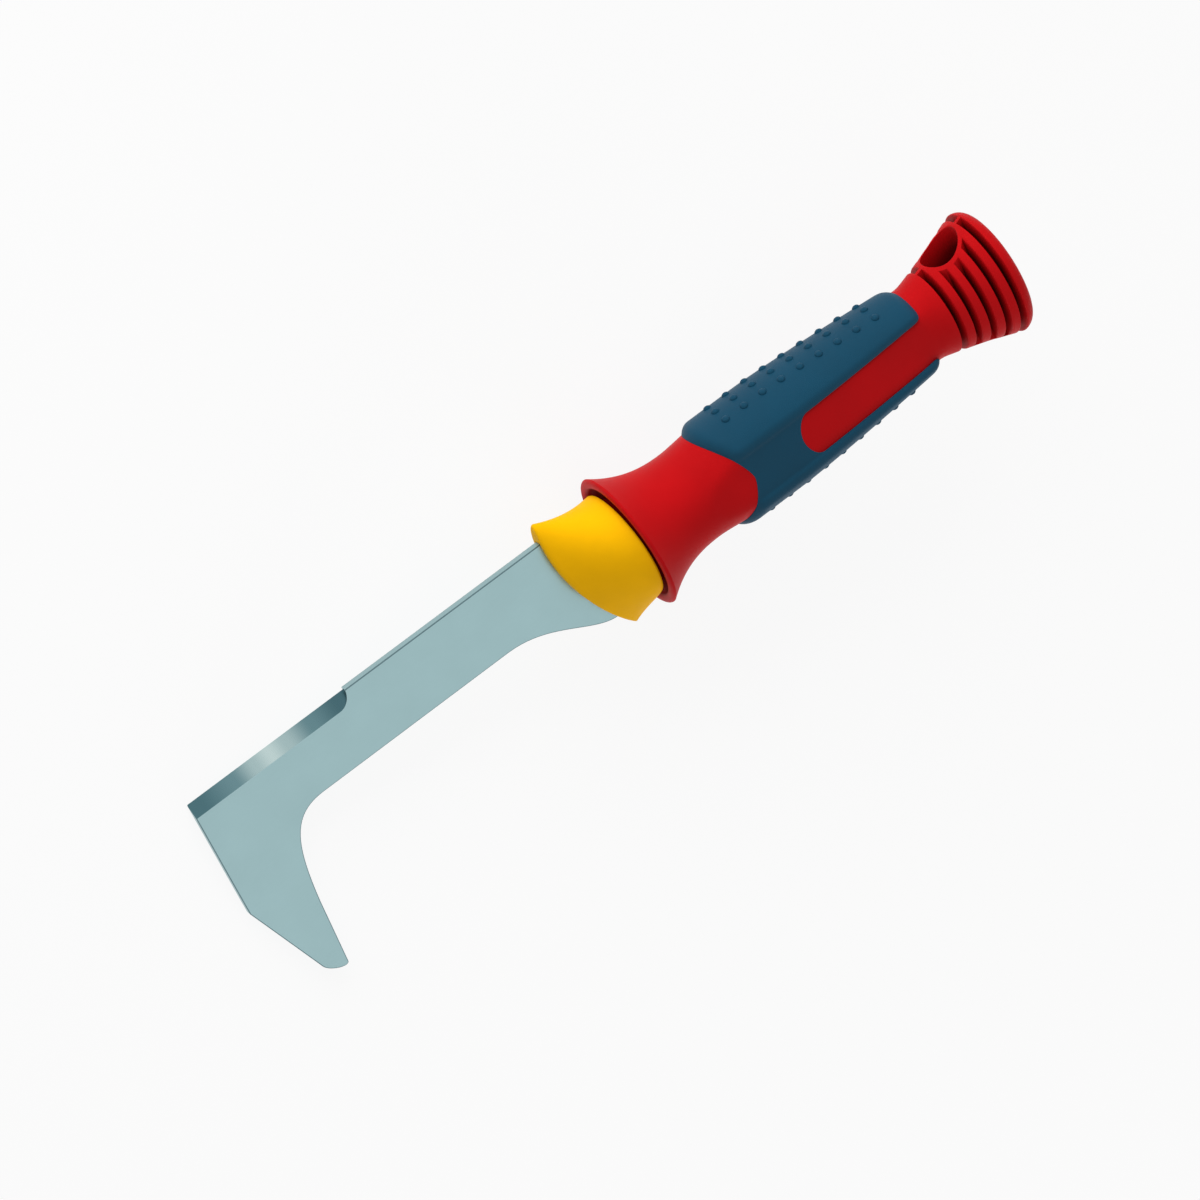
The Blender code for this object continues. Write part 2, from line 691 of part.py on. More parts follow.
def lay_on_floor():
    """Tip the tool until the blade's front edge and the bell's rim touch the floor, with the floor's centre below it."""
    front = BLADE_REACH - FRONT_RAKE / 2
    tip = math.atan2(RIM_RADIUS - BLADE_THICKNESS / 2, front + LIP_ROUND)
    FRAME.rotation_euler = (0.0, -tip, 0.0)
    graph = bpy.context.evaluated_depsgraph_get()
    corners = []
    for part in TOOL.objects:
        if part.type == "MESH":
            mesh = part.evaluated_get(graph).to_mesh()
            corners += [FRAME.rotation_euler.to_matrix() @ vert.co for vert in mesh.vertices]
    low = [min(corner[i] for corner in corners) for i in range(3)]
    high = [max(corner[i] for corner in corners) for i in range(3)]
    FRAME.location = (-(low[0] + high[0]) / 2, -(low[1] + high[1]) / 2, -low[2])
    bpy.context.view_layer.update()


make_blade()
make_collar()
make_handle()
make_soft_grip()
lay_on_floor()
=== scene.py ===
# %% [markdown]
# # A hand weeding knife
#
# This lesson builds the look of a garden tool that scrapes weeds out of paving joints. It has
# four pieces: a stamped steel blade, a yellow collar, a red plastic handle and a soft blue grip
# moulded round it. The CAD model is loaded first and stays as it is. Each piece is then drawn
# again with finer curves and real finishes.

# %% Load the CAD frame
import json
import math

import bmesh
import bpy
from mathutils import Matrix, Vector


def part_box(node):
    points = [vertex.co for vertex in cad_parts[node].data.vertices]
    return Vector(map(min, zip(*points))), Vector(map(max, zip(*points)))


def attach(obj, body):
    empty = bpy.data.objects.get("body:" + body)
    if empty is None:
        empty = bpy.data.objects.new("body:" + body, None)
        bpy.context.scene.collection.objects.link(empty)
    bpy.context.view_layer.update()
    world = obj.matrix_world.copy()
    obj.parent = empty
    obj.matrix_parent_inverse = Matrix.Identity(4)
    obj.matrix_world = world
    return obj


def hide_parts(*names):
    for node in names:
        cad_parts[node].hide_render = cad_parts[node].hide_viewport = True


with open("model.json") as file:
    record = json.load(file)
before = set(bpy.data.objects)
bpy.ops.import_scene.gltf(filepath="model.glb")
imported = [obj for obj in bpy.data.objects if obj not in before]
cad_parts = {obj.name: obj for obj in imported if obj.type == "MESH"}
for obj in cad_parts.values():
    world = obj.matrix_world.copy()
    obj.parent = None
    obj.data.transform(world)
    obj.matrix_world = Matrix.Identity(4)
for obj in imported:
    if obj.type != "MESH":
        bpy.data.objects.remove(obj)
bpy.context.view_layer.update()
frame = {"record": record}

# %% [markdown]
# ## The tool's own axes
#
# The tool lies tilted on the floor, on the blade's front edge and the rim of the bell. It is
# easier to draw it straight: X runs along the handle from the mouth of the bell to the butt, Y
# towards the blade's spine and Z out of the blade's ground face, all in millimetres. The record's
# two flat faces tell how the tilted frame lies, so one matrix takes the finished meshes to their
# place.

# %% Find the matrix that lays the tool down
BLADE_THICKNESS = 3.0
SPINE_HEIGHT = 19.6
BUTT_END = 156.0

mounts = {mount["name"]: mount for mount in frame["record"]["mounts"]}
up = Vector(mounts["hook_face"]["axis"]).normalized()
along = Vector(mounts["butt_end"]["axis"]).normalized()
across = up.cross(along)
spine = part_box("blade")[1][1]
place = along * (Vector(mounts["butt_end"]["pos_m"]).dot(along) - 0.001 * BUTT_END)
place += up * (Vector(mounts["hook_face"]["pos_m"]).dot(up) - 0.0005 * BLADE_THICKNESS)
place += across * (spine - 0.001 * SPINE_HEIGHT)
TURN = Matrix((along, across, up)).transposed()
LAY_DOWN = Matrix.LocRotScale(place, TURN.to_quaternion(), Vector((0.001, 0.001, 0.001)))
TILT = TURN.to_euler()
print("the tool's origin in mm:", [round(1000 * value, 2) for value in place])
print("its tilt in degrees:", round(math.degrees(TILT.y), 2))

# %% [markdown]
# ## The camera
#
# The photograph looks down at the tool from the front of the blade, with the handle running up
# the picture to the right. The three angles below were read from it: how far the view is lifted
# above the blade's face, how far it is turned towards the blade's tip, and how far the picture is
# rolled. A long lens keeps the lines parallel.

# %% Set up the camera
LIFT, SWING, ROLL = math.radians(32.0), math.radians(12.5), math.radians(36.9)
LOOK_AT = Vector((-16.75, -11.36, 0.0))
DISTANCE = 1446.9

turned = math.sin(SWING)
side = Vector((math.cos(SWING), math.sin(LIFT) * turned, math.cos(LIFT) * turned))
rise = Vector((0.0, math.cos(LIFT), -math.sin(LIFT)))
back = side.cross(rise)
right = side * math.cos(ROLL) - rise * math.sin(ROLL)
top = side * math.sin(ROLL) + rise * math.cos(ROLL)

lens = bpy.data.cameras.new("camera")
lens.lens = 135.0
lens.sensor_width = 36.0
camera = bpy.data.objects.new("camera", lens)
bpy.context.scene.collection.objects.link(camera)
camera.rotation_mode = "QUATERNION"
camera.rotation_quaternion = (TURN @ Matrix((right, top, back)).transposed()).to_quaternion()
camera.location = LAY_DOWN @ (LOOK_AT + back * DISTANCE)
bpy.context.scene.camera = camera
print("camera at", [round(value, 3) for value in camera.location])

# %% [markdown]
# ## Drawing out a ring
#
# Most of this tool is round in section but changes shape along its length, like drawn-out dough.
# The helper starts with a circle of points and pulls it through a row of rules. Each point keeps
# its angle round the axis, counted from the side (+Z) up to the top (+Y), and a rule turns that
# angle into the point's next place.


# %% The helpers that make pieces
def blend(a, b, share):
    return a + (b - a) * share


def share_of(start, end, x):
    return min(max((x - start) / (end - start), 0.0), 1.0)


def smooth_step(start, end, x):
    share = share_of(start, end, x)
    return share * share * (3.0 - 2.0 * share)


def polar(x, angle, radius):
    return Vector((x, radius * math.sin(angle), radius * math.cos(angle)))


def add_piece(name, bm):
    """Closes a drawn mesh into an object, still in millimetres."""
    bmesh.ops.recalc_face_normals(bm, faces=bm.faces[:])
    mesh = bpy.data.meshes.new(name)
    bm.to_mesh(mesh)
    bm.free()
    piece = bpy.data.objects.new(name, mesh)
    bpy.context.scene.collection.objects.link(piece)
    return piece


def draw_out(name, rules, columns, ends="filled"):
    """Pulls a circle of points through the rules, and fills, zips or joins the two ends."""
    bm = bmesh.new()
    turn = bm.verts.layers.float.new("turn")
    for vert in bmesh.ops.create_circle(bm, segments=columns, radius=1.0)["verts"]:
        vert[turn] = math.atan2(vert.co.y, vert.co.x)
        vert.co = rules[0](vert[turn])
    first = bm.edges[:]
    last = first
    for rule in rules[1:]:
        pulled = bmesh.ops.extrude_edge_only(bm, edges=last)["geom"]
        fresh = {item for item in pulled if isinstance(item, bmesh.types.BMVert)}
        for vert in fresh:
            vert.co = rule(vert[turn])
        edges = [item for item in pulled if isinstance(item, bmesh.types.BMEdge)]
        last = [edge for edge in edges if set(edge.verts) <= fresh]
    if ends == "joined":
        bmesh.ops.bridge_loops(bm, edges=first + last)
    else:
        bmesh.ops.edgeloop_fill(bm, edges=first)
        if ends == "filled":
            bmesh.ops.edgeloop_fill(bm, edges=last)
        bmesh.ops.remove_doubles(bm, verts=bm.verts[:], dist=0.0001)
    return add_piece(name, bm)


def carve(piece, tool, operation="DIFFERENCE"):
    """Cuts, joins or keeps the overlap of two closed shapes, and throws the second one away."""
    modifier = piece.modifiers.new("carve", "BOOLEAN")
    modifier.operation = operation
    modifier.solver = "EXACT"
    modifier.object = tool
    graph = bpy.context.evaluated_depsgraph_get()
    piece.data = bpy.data.meshes.new_from_object(piece.evaluated_get(graph))
    piece.modifiers.clear()
    bpy.data.objects.remove(tool)


def lay_down(piece, node, sharp=32.0):
    """Takes a finished piece to its place in the frame, where it stands for its CAD node."""
    piece.data.transform(LAY_DOWN)
    piece.data.shade_smooth()
    piece.data.set_sharp_from_angle(angle=math.radians(sharp))
    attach(piece, "root")
    if node:
        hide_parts(node)
    print(piece.name, "faces:", len(piece.data.polygons))


# %% [markdown]
# ## The blade
#
# The blade is stamped from flat plate, so its outline says almost everything: a straight spine, a
# hook bent down at the front with a pulling edge inside it, and a root that swells into the
# collar. The outline is drawn as a flat curve with handles, given a thickness and slightly
# rounded edges, and made into a mesh. A block whose underside is tilted then grinds the cutting
# edge, just as the maker's wheel does.

# %% Draw the blade's outline
BLADE_FRONT = -166.8
SPINE_FRONT = BLADE_FRONT + 2.2
SHANK_LOW = -5.8
TANG_HALF = 9.0
EDGE_ROUND = 0.32
outline = [
    ((SPINE_FRONT, SPINE_HEIGHT), None, None),
    ((BLADE_FRONT, -26.0), (BLADE_FRONT, -23.6), (-166.06, -28.28)),
    ((-156.2, -58.5), (-156.94, -56.22), (-155.61, -60.32)),
    ((-149.64, -63.3), (-152.04, -63.06), (-148.2, -63.3)),
    ((-148.2, -61.86), (-148.2, -62.58), None),
    ((-145.6, -37.8), None, (-142.72, -16.04)),
    ((-126.4, SHANK_LOW), (-139.2, SHANK_LOW), None),
    ((-52.0, SHANK_LOW), None, (-34.9, SHANK_LOW)),
    ((-14.0, -19.6), (-23.88, -19.6), None),
    ((-7.0, -TANG_HALF), None, None),
    ((57.0, -TANG_HALF), None, None),
    ((60.0, 0.0), None, None),
    ((57.0, TANG_HALF), None, None),
    ((-7.0, TANG_HALF), None, None),
    ((-21.0, SPINE_HEIGHT), None, None),
]


def stamp(name, corners, thickness, edge=0.0):
    """A flat plate from a closed outline of corners, each with its handle before and after."""
    curve = bpy.data.curves.new(name, "CURVE")
    curve.dimensions = "2D"
    curve.fill_mode = "BOTH"
    curve.resolution_u = 20
    curve.extrude = thickness / 2 - edge
    curve.bevel_depth = edge
    curve.bevel_resolution = 2
    curve.offset = -edge
    spline = curve.splines.new("BEZIER")
    spline.bezier_points.add(len(corners) - 1)
    spline.use_cyclic_u = True
    for point, (corner, before, after) in zip(spline.bezier_points, corners):
        point.co = (*corner, 0.0)
        point.handle_left_type = "FREE" if before else "VECTOR"
        point.handle_right_type = "FREE" if after else "VECTOR"
        if before:
            point.handle_left = (*before, 0.0)
        if after:
            point.handle_right = (*after, 0.0)
    drawn = bpy.data.objects.new(name, curve)
    bpy.context.scene.collection.objects.link(drawn)
    graph = bpy.context.evaluated_depsgraph_get()
    bm = bmesh.new()
    mesh = bpy.data.meshes.new_from_object(drawn.evaluated_get(graph))
    bm.from_mesh(mesh)
    bpy.data.meshes.remove(mesh)
    bpy.data.objects.remove(drawn)
    bmesh.ops.remove_doubles(bm, verts=bm.verts[:], dist=0.002)
    return add_piece(name, bm)


blade = stamp("blade_plate", outline, BLADE_THICKNESS, EDGE_ROUND)
print("corners of the blade's outline:", len(outline))

# %% Grind the cutting edge
BEVEL_WIDTH = 5.5
BEVEL_END, BEVEL_CORNER = -103.5, 5.0
EDGE_SET_BACK = 1.1
BLOCK_LENGTH, BLOCK_SIDE = 80.0, 16.0

tilt = math.atan2(BLADE_THICKNESS, BEVEL_WIDTH - EDGE_SET_BACK)
bm = bmesh.new()
bmesh.ops.create_cube(bm, size=1.0)
middle = Vector((BEVEL_END - BLOCK_LENGTH / 2, BLOCK_SIDE / 2, BLOCK_SIDE / 2))
block = Matrix.LocRotScale(middle, None, Vector((BLOCK_LENGTH, BLOCK_SIDE, BLOCK_SIDE)))
bmesh.ops.transform(bm, matrix=block, verts=bm.verts[:])
rear = [edge for edge in bm.edges if all(vert.co.x > BEVEL_END - 1.0 for vert in edge.verts)]
corner = [edge for edge in rear if all(vert.co.y < 1.0 for vert in edge.verts)]
bmesh.ops.bevel(
    bm, geom=corner, offset=BEVEL_CORNER, segments=12, profile=0.5, affect="EDGES", material=-1
)
shift = Matrix.Translation((0.0, SPINE_HEIGHT - BEVEL_WIDTH, BLADE_THICKNESS / 2))
bmesh.ops.transform(bm, matrix=shift @ Matrix.Rotation(-tilt, 4, "X"), verts=bm.verts[:])
carve(blade, add_piece("grinder", bm))
print("blade length in mm:", round(blade.dimensions.x, 1))

# %% [markdown]
# ## The collar
#
# The yellow collar is a fish-mouth shape: round where it meets the bell and flattened to a wide
# curved nose where the plate goes in. Its rings start at the round boss that plugs into the bell
# and change share by share into the flat nose. The last ring is pressed flat, so the nose closes
# like a zip, and a slot takes the blade.

# %% Draw the collar
COLLAR_REAR, REAR_ROUND = -0.1, 0.8
COLLAR_RADIUS, COLLAR_SIDE = 19.0, 20.2
COLLAR_TOP, COLLAR_BOTTOM = 26.9, 26.2
NOSE_HALF = 5.5
NOSE_REACH, NOSE_RADIUS, NOSE_HIGH_POINT = 25.6, 68.5, 17.6
NOSE_ROUND, NOSE_ROUND_START = 1.2, 0.94
BOSS_END, BOSS_RADIUS = 0.6, 9.0
SLOT_MIDDLE, SLOT_SIZE = Vector((-33.5, 0.0, 0.0)), Vector((40.0, 39.7, 3.3))


def nose_front(y):
    return -NOSE_REACH + NOSE_RADIUS - math.sqrt(NOSE_RADIUS**2 - (y - NOSE_HIGH_POINT) ** 2)


def collar_rule(share, inset=0.0, flat=1.0):
    """One ring of the collar, from the round rear at share 0 to the nose at share 1."""

    def rule(angle):
        height = math.sin(angle)
        tip, flare = (COLLAR_TOP, share**1.7) if height > 0.0 else (COLLAR_BOTTOM, share**0.8)
        x = blend(COLLAR_REAR - REAR_ROUND, nose_front(height * tip), share)
        worn = inset * (1.0 + 1.4 * max(height, 0.0) ** 3)
        y = height * (blend(COLLAR_RADIUS, tip, flare) - worn)
        z = math.cos(angle) * (blend(COLLAR_SIDE, NOSE_HALF, share**1.1) - 0.5 * inset) * flat
        return Vector((x, y, z))

    return rule


def disc_rule(x, radius):
    return lambda angle: polar(x, angle, radius)


def back_rule(x, inset):
    """The collar's rear edge, a little wider across its sides than it is high."""
    high, wide = COLLAR_RADIUS - inset, COLLAR_SIDE - inset
    return lambda angle: Vector((x, high * math.sin(angle), wide * math.cos(angle)))


collar_rules = [disc_rule(BOSS_END, BOSS_RADIUS - 3.0), disc_rule(BOSS_END, BOSS_RADIUS - 0.3)]
collar_rules += [disc_rule(BOSS_END - 0.3, BOSS_RADIUS), disc_rule(COLLAR_REAR, BOSS_RADIUS)]
collar_rules += [back_rule(COLLAR_REAR, REAR_ROUND), back_rule(COLLAR_REAR - 0.24, 0.24)]
collar_rules += [collar_rule(i / 28) for i in range(26)]
for i in range(7):
    turn = math.pi / 2 * i / 6
    share = blend(NOSE_ROUND_START, 1.0, math.sin(turn))
    collar_rules.append(collar_rule(share, NOSE_ROUND * (1.0 - math.cos(turn))))
collar_rules += [collar_rule(1.0, NOSE_ROUND, flat) for flat in (0.5, 0.0)]
collar = draw_out("collar_shell", collar_rules, 120, ends="zipped")

bm = bmesh.new()
bmesh.ops.create_cube(bm, size=1.0)
slot = Matrix.LocRotScale(SLOT_MIDDLE, None, SLOT_SIZE)
bmesh.ops.transform(bm, matrix=slot, verts=bm.verts[:])
carve(collar, add_piece("slot", bm))
print("collar height in mm:", round(collar.dimensions.y, 1))

# %% [markdown]
# ## The handle
#
# The red handle starts as a bell that shields the knuckles, draws in to a neck, swells into a
# flat-sided bar and flares out again at the butt. One row of rings draws it all, from the floor
# of the bell's mouth round its lip and along the outside. The butt's ring grooves are part of the
# same row: the ring simply dips inwards.

# %% The handle's outline rules
RIM_RADIUS, LIP_ROUND, LIP_HALF = 24.3, 1.2, 1.85
BELL_LENGTH, NECK_RADIUS = 26.0, 16.35
SOCKET_FLOOR, STOP_FACE, STOP_RADIUS = 7.5, 0.9, 15.8
PANEL_HALF, PANEL_SOFT = 8.1, 1.6
BAR_HALF, BAR_REAR_HALF = 15.4, 11.2
BAR_FRONT, BAR_TAPER = 45.0, 60.0
OVAL_START, OVAL_END = 113.0, 128.0
REAR_NECK, REAR_NECK_HALF = 122.0, 14.1
BUTT_HALF, BUTT_OVAL, BUTT_EDGE = 23.6, 0.84, 4.2
BUTT_WIDEST = BUTT_END - BUTT_EDGE
GROOVES = [130.6 + 5.0 * i for i in range(5)]


def soft_lower(a, b, width):
    """The lower of two values, with the corner between them rounded off."""
    mix = min(max(0.5 + 0.5 * (b - a) / width, 0.0), 1.0)
    return blend(b, a, mix) - width * mix * (1.0 - mix)


def half_panel(x):
    if x < BAR_FRONT:
        return blend(NECK_RADIUS, BAR_HALF, smooth_step(BELL_LENGTH, BAR_FRONT, x))
    share = max(x - BAR_TAPER, 0.0) / (REAR_NECK - BAR_TAPER)
    return blend(BAR_HALF, BAR_REAR_HALF, share**1.6)


def bell_radius(x):
    share = (BELL_LENGTH - x) / (BELL_LENGTH - LIP_ROUND)
    return NECK_RADIUS + (RIM_RADIUS - NECK_RADIUS) * share**2.3


def butt_half(x):
    return blend(REAR_NECK_HALF, BUTT_HALF, share_of(REAR_NECK, BUTT_WIDEST, x) ** 1.2)


def handle_radius(x, angle):
    if x < BELL_LENGTH:
        return bell_radius(x)
    flat = half_panel(x)
    swell = smooth_step(BELL_LENGTH, BAR_FRONT, x)
    round_bar = blend(NECK_RADIUS, math.hypot(flat, PANEL_HALF), swell)
    flat_bar = flat / max(abs(math.cos(angle)), 0.001)
    bar = soft_lower(round_bar, flat_bar, PANEL_SOFT * smooth_step(BELL_LENGTH, 30.0, x) + 0.01)
    high = butt_half(x)
    thick = BUTT_OVAL * high
    oval = high * thick / math.hypot(high * math.cos(angle), thick * math.sin(angle))
    return blend(bar, oval, smooth_step(OVAL_START, OVAL_END, x))


def handle_rule(x, inset=0.0):
    return lambda angle: polar(x, angle, handle_radius(x, angle) - inset)


def end_round(x):
    share = share_of(BUTT_WIDEST, BUTT_END, x)
    return BUTT_EDGE * (1.0 - math.sqrt(1.0 - share * share))


# %% Draw the handle
mouth = [disc_rule(STOP_FACE, 8.0), disc_rule(STOP_FACE, STOP_RADIUS - 0.5)]
mouth += [disc_rule(STOP_FACE + 0.5, STOP_RADIUS), disc_rule(SOCKET_FLOOR, STOP_RADIUS)]
inside = (SOCKET_FLOOR, 6.5, 5.4, 4.3, 3.1, 2.1, 1.2)
mouth += [disc_rule(x, bell_radius(x) - 2 * LIP_HALF) for x in inside]
lip = [(1 - math.sin(math.pi * i / 14), -math.cos(math.pi * i / 14)) for i in range(1, 14)]
mouth += [disc_rule(LIP_ROUND * x, RIM_RADIUS + LIP_HALF * (out - 1.0)) for x, out in lip]

dips = [(-1.9, 0.0), (-1.5, 0.0), (-1.28, 0.08), (-1.12, 0.25)]
dips += [(-1.05, 0.5), (-0.95, 5.1), (-0.7, 5.5)]
dips += [(-step, dip) for step, dip in reversed(dips)]
body = [LIP_ROUND + 0.8 * i for i in range(32)] + [BELL_LENGTH + 1.2 * i for i in range(16)]
body += [BAR_FRONT + 2.5 * i for i in range(28)] + [114.0 + 1.0 * i for i in range(15)]
rules = mouth + [handle_rule(x) for x in body]
for groove in GROOVES:
    rules += [handle_rule(groove + x, dip + end_round(groove + x)) for x, dip in dips]
tail = [BUTT_WIDEST + BUTT_EDGE * math.sin(math.pi / 2 * i / 10) for i in range(2, 11)]
rules += [handle_rule(x, end_round(x)) for x in tail]
rules += [handle_rule(BUTT_END, BUTT_EDGE + 6.0)]
handle = draw_out("handle_body", rules, 176)
print("rings in the handle:", len(rules))

# %% [markdown]
# ## Web, boss and hang hole
#
# A mould that opens sideways leaves a thin web in the middle plane of the butt, which ties the
# fins together, and a round boss keeps a wall round the hang hole. Both are trimmed to the
# flare's own skin before they are joined to the fins. The hole's cutter opens out a little at
# both ends, so that its rims come out rounded.

# %% Join the web and boss, and cut the hang hole
HOLE_PLACE, HOLE_RADIUS, HOLE_WALL, HOLE_ROLL = 140.5, 7.4, 1.5, 0.4
BOSS_HEIGHT = 60.0
WEB_SIZE = Vector((23.0, 58.0, 1.4))
flare = [126.0 + 1.0 * i for i in range(26)]
flare += [BUTT_WIDEST + BUTT_EDGE * math.sin(math.pi / 2 * i / 8) for i in range(7)]
ribs = draw_out("ribs", [handle_rule(x, end_round(x) + 0.03) for x in flare], 120)

bm = bmesh.new()
upright = Matrix.Translation((HOLE_PLACE, 0.0, 0.0)) @ Matrix.Rotation(math.radians(90.0), 4, "X")
wall = HOLE_RADIUS + HOLE_WALL
bmesh.ops.create_cone(
    bm, cap_ends=True, segments=96, radius1=wall, radius2=wall, depth=BOSS_HEIGHT, matrix=upright
)
boss = add_piece("boss", bm)
bm = bmesh.new()
bmesh.ops.create_cube(bm, size=1.0)
web = Matrix.LocRotScale(Vector((HOLE_PLACE, 0.0, 0.0)), None, WEB_SIZE)
bmesh.ops.transform(bm, matrix=web, verts=bm.verts[:])
carve(boss, add_piece("web", bm), "UNION")
carve(ribs, boss, "INTERSECT")
carve(handle, ribs, "UNION")


def skin_height(x, z):
    """How high the flare's skin stands above the middle at a place beside the hole."""
    high = butt_half(x)
    return high * math.sqrt(1.0 - min(z / (BUTT_OVAL * high), 0.99) ** 2)


def hole_rule(sign, out, drop):
    def rule(angle):
        radius = HOLE_RADIUS + out
        x, z = HOLE_PLACE + radius * math.cos(angle), radius * math.sin(angle)
        return Vector((x, sign * (skin_height(x, abs(z)) - drop), z))

    return rule


rim = [(0.0, depth) for depth in (11.0, 8.0, 5.0, 2.5)]
for i in range(6):
    turn = math.pi / 2 * i / 5
    rim.append((HOLE_ROLL * (1 - math.cos(turn)), HOLE_ROLL * (1 - math.sin(turn))))
rim.append((HOLE_ROLL, -8.0))
rules = [hole_rule(-1, out, drop) for out, drop in reversed(rim)]
rules += [hole_rule(1, out, drop) for out, drop in rim]
carve(handle, draw_out("hang_hole", rules, 96))
print("handle length in mm:", round(handle.dimensions.x, 1))

# %% [markdown]
# ## Painted shade in the recesses
#
# Little light reaches the bottom of the bell's mouth, the grooves and the hang hole, so the red
# plastic is painted darker there: painted shade. The mesh carries a value for that, from 0 on the
# skin to 1 deep inside, and the red plastic's material reads it, and also makes the skin rougher
# there. The value comes from the depth under the handle's own skin, so it follows the shape when a
# size is changed.

# %% Mark the recesses for painted shade
# These marks say how much painted shade each place gets.
MOUTH_MARK = 0.7
recess = handle.data.attributes.new("recess", "FLOAT", "POINT")
for vert, mark in zip(handle.data.vertices, recess.data):
    x, y, z = vert.co
    depth = handle_radius(x, math.atan2(y, z)) - end_round(min(x, BUTT_END)) - math.hypot(y, z)
    if x < SOCKET_FLOOR + 0.1:
        mark.value = MOUTH_MARK * smooth_step(2 * LIP_HALF - 0.3, 2 * LIP_HALF + 0.8, depth)
    elif math.hypot(x - HOLE_PLACE, z) < HOLE_RADIUS + 0.1:
        mark.value = smooth_step(0.2, 9.0, depth)
    elif GROOVES[0] - 2.0 < x < GROOVES[-1] + 2.0:
        mark.value = smooth_step(0.2, 4.5, depth)
print("marked points:", sum(mark.value > 0.5 for mark in recess.data))

# %% [markdown]
# ## The soft grip
#
# The grip is a soft plastic that is shot round the finished red handle in a second mould. Two
# thick pads with rounded fronts run along the top and bottom, a thin tongue joins them at the
# front of each side, and a window leaves the red panel bare. It is drawn as a sleeve: each column
# starts at the curved front line, climbs a rounded chamfer onto the pad and goes down again at
# the rear. The window is then punched through both sides.

# %% The grip's outline rules
PAD_RADIUS, PAD_REAR_RADIUS = 19.55, 16.0
GRIP_TONGUE, GRIP_SWEEP, GRIP_REAR = 43.8, 9.6, 120.3
GRIP_CHAMFER = 4.2
PAD_REAR = 117.1
LEDGE, LEDGE_START, LEDGE_END = 0.45, 7.9, 8.9
SKIN = 0.15


def pad_radius(x):
    return blend(PAD_RADIUS, PAD_REAR_RADIUS, share_of(BAR_TAPER, PAD_REAR, x) ** 1.35)


def grip_front(angle):
    return GRIP_TONGUE - GRIP_SWEEP * abs(math.sin(angle)) ** 1.6


def grip_radius(x, angle, lift):
    """The sleeve's outside: flanks just proud of the panel, and a round pad above and below."""
    hard = handle_radius(x, angle) + SKIN
    lean = max(abs(math.cos(angle)), 0.001)
    flat = half_panel(x) + SKIN
    height = flat * abs(math.sin(angle)) / lean
    flank = (flat + LEDGE * smooth_step(LEDGE_START, LEDGE_END, height)) / lean
    soft = soft_lower(pad_radius(x), flank, 0.9)
    return blend(hard, max(soft, hard), lift)


def grip_rule(share, front_gap=None, rear_gap=None, sunk=None):
    """A ring of the sleeve, placed by its gap from the front line or the rear, or by its share."""

    def rule(angle):
        front = grip_front(angle)
        x = blend(front + GRIP_CHAMFER, GRIP_REAR - GRIP_CHAMFER, share)
        lift = 1.0
        if front_gap is not None:
            x = front + front_gap
            lift = 1.0 - (1.0 - front_gap / GRIP_CHAMFER) ** 2.2
        if rear_gap is not None:
            x = GRIP_REAR - rear_gap
            lift = 1.0 - (1.0 - rear_gap / GRIP_CHAMFER) ** 2.2
        if sunk is not None:
            return polar(x, angle, handle_radius(x, angle) - sunk)
        return polar(x, angle, grip_radius(x, angle, lift))

    return rule


# %% Draw the grip
steps = [0.0, 0.15, 0.4, 0.8, 1.3, 1.9, 2.6, 3.4]
rules = [grip_rule(0.0, front_gap=step) for step in steps]
rules += [grip_rule(i / 56) for i in range(57)]
rules += [grip_rule(1.0, rear_gap=step) for step in reversed(steps)]
rules += [grip_rule(1.0, rear_gap=0.0, sunk=0.6), grip_rule(0.0, front_gap=0.0, sunk=0.6)]
grip = draw_out("grip_sleeve", rules, 240, ends="joined")

window = [
    ((64.0, 0.0), (64.0, 3.6), (64.0, -3.6)),
    ((69.6, -PANEL_HALF), (66.4, -PANEL_HALF), None),
    ((117.0, -PANEL_HALF), None, (119.2, -PANEL_HALF)),
    ((GRIP_REAR, -10.4), (GRIP_REAR, -9.0), None),
    ((130.0, -10.4), None, None),
    ((130.0, 10.4), None, None),
    ((GRIP_REAR, 10.4), None, (GRIP_REAR, 9.0)),
    ((117.0, PANEL_HALF), (119.2, PANEL_HALF), None),
    ((69.6, PANEL_HALF), None, (66.4, PANEL_HALF)),
]
carve(grip, stamp("window", window, 80.0))
print("grip thickness in mm:", round(grip.dimensions.y, 1))

# %% [markdown]
# ## The grip's bumps
#
# Three rows of small domes stand on each pad, so that a wet hand doesn't slip. They are one small
# ball, flattened and set into the pad 54 times.

# %% Set the bumps
BUMP_COUNT, BUMP_FIRST, BUMP_STEP, BUMP_ROW = 9, 47.1, 7.6, 6.1
BUMP_SIZE = Matrix.Diagonal((1.45, 1.45, 1.05, 1.0))

bm = bmesh.new()
for row in (-BUMP_ROW, 0.0, BUMP_ROW):
    for middle in (90.0, 270.0):
        for i in range(BUMP_COUNT):
            x = BUMP_FIRST + BUMP_STEP * i
            angle = math.radians(middle) + math.asin(row / pad_radius(x))
            out = Vector((0.0, math.sin(angle), math.cos(angle)))
            aim = out.to_track_quat("Z", "X").to_matrix().to_4x4()
            spot = Matrix.Translation(polar(x, angle, pad_radius(x) - 0.1))
            ball = spot @ aim @ BUMP_SIZE
            bmesh.ops.create_uvsphere(bm, u_segments=14, v_segments=8, radius=1.0, matrix=ball)
bumps = add_piece("grip_bumps", bm)
print("bumps on the grip:", 6 * BUMP_COUNT)

# %% [markdown]
# ## Finishes
#
# Moulded plastic is never one flat colour: the mould is lightly etched, so the skin has a fine
# grain, and the colour wanders a little with the flow. Both plastics and the soft grip share that
# as a node group with a colour, a roughness and a height, so each material only says how coarse
# and how strong its own grain is.


# %% The shared moulded skin
def add_node(tree, kind, **settings):
    node = tree.nodes.new(kind)
    for name, value in settings.items():
        setattr(node, name, value)
    return node


